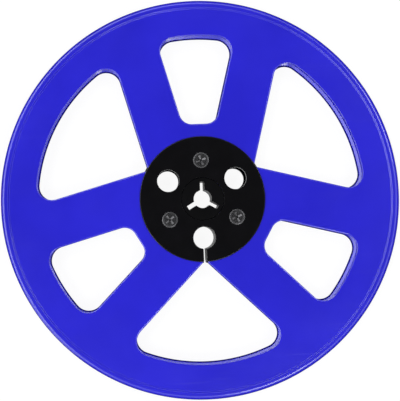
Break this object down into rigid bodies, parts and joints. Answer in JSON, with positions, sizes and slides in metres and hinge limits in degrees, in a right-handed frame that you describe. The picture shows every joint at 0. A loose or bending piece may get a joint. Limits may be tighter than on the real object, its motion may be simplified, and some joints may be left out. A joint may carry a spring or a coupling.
{
  "type": "audio tape reel",
  "caption": "Small-hub open-reel spool for quarter-inch audio tape: two windowed flanges screwed to a slotted drum between hub plates, with a keyed spindle bore.",
  "frame": {"origin": "on the reel's axis, in the plane of the rear hub plate's outer face, on which the reel lies", "axes": "+Z along the axis towards the front hub plate, +X to the right and +Y up seen from the front; the tape slot is at -Y"},
  "size_m": [0.1778, 0.1778, 0.0127],
  "materials": {
    "flange_plastic": "glossy moulded blue plastic",
    "drum_plastic": "smooth moulded black plastic",
    "plate_plastic": "satin black plastic",
    "screw_steel": "dark oxide"
  },
  "bodies": {
    "root": {"hub_drum": "drum_plastic", "front_flange": "flange_plastic", "rear_flange": "flange_plastic", "front_hub_plate": "plate_plastic", "rear_hub_plate": "plate_plastic", "front_screw_top": "screw_steel", "front_screw_left": "screw_steel", "front_screw_right": "screw_steel", "rear_screw_top": "screw_steel", "rear_screw_left": "screw_steel", "rear_screw_right": "screw_steel"}
  },
  "joints": []
}
